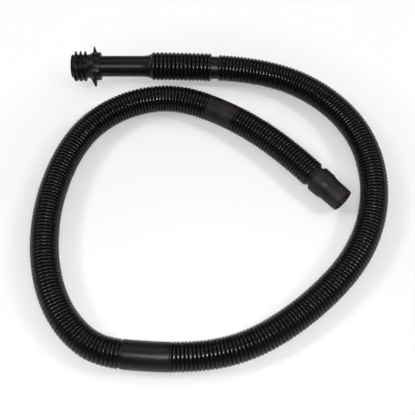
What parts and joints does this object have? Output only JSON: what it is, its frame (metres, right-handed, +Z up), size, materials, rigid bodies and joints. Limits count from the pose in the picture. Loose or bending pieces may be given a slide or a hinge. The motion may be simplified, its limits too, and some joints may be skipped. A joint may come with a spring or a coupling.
{
  "type": "vacuum hose",
  "caption": "Black corrugated vacuum hose laid in a loop, with a threaded swivel coupling on a bellows leader and a push-on swivel cuff.",
  "frame": {"origin": "middle of the coil's outline, on the floor that the hose lies on", "axes": "+Z up from the floor; +X along the leader from the coupling towards the hose; +Y across the floor towards the leader's side of the coil"},
  "size_m": [0.4838, 0.4872, 0.0444],
  "materials": {
    "hose": "semi-gloss black",
    "leader": "semi-gloss black",
    "coupling": "satin black",
    "cuff": "matte charcoal",
    "seal": "matte black",
    "retainer": "satin"
  },
  "bodies": {
    "hose_loop": {"first_run": "hose", "lower_cuff": "hose", "second_run": "hose"},
    "neck": {"first_run_start": "hose", "hose_neck": "hose", "leader_bellows_rear": "leader"},
    "leader": {"leader_bellows_front": "leader", "leader_tube": "leader"},
    "coupling": {"coupling_body": "coupling", "coupling_seal": "seal", "coupling_retainer": "retainer"},
    "middle": {"second_run_end": "hose", "middle_cuff": "cuff", "tail_bellows_front": "hose"},
    "tail": {"tail_bellows_rear": "hose", "end_neck": "hose"},
    "cuff": {"end_cuff": "cuff", "cuff_seal": "seal", "cuff_retainer": "retainer"}
  },
  "joints": [
    {"name": "leader_lift", "type": "hinge", "parent": "hose_loop", "child": "neck", "pos_m": [0.07045, 0.20694, 0.02038], "axis": [0.1931, 0.9812, 0], "range_deg": [0, 45], "deforming": ["first_run_start", "first_run"]},
    {"name": "leader_bend", "type": "hinge", "parent": "neck", "child": "leader", "pos_m": [-0.04501, 0.21703, 0.0222], "axis": [0, 0, -1], "range_deg": [-12, 60], "deforming": ["leader_bellows_front", "leader_bellows_rear"]},
    {"name": "coupling_swivel", "type": "hinge", "parent": "leader", "child": "coupling", "pos_m": [-0.16301, 0.21703, 0.0222], "axis": [1, 0, 0], "continuous": true},
    {"name": "tail_lift", "type": "hinge", "parent": "hose_loop", "child": "middle", "pos_m": [-0.06205, 0.16121, 0.019], "axis": [-0.0356, -0.9994, 0], "range_deg": [0, 45], "deforming": ["second_run_end", "second_run"]},
    {"name": "tail_bend", "type": "hinge", "parent": "middle", "child": "tail", "pos_m": [0.09141, 0.08393, 0.019], "axis": [0, 0, -1], "range_deg": [-3, 60], "deforming": ["tail_bellows_front", "tail_bellows_rear"]},
    {"name": "cuff_swivel", "type": "hinge", "parent": "tail", "child": "cuff", "pos_m": [0.1405, 0.0345, 0.019], "axis": [0.6819, -0.7314, 0], "continuous": true}
  ]
}
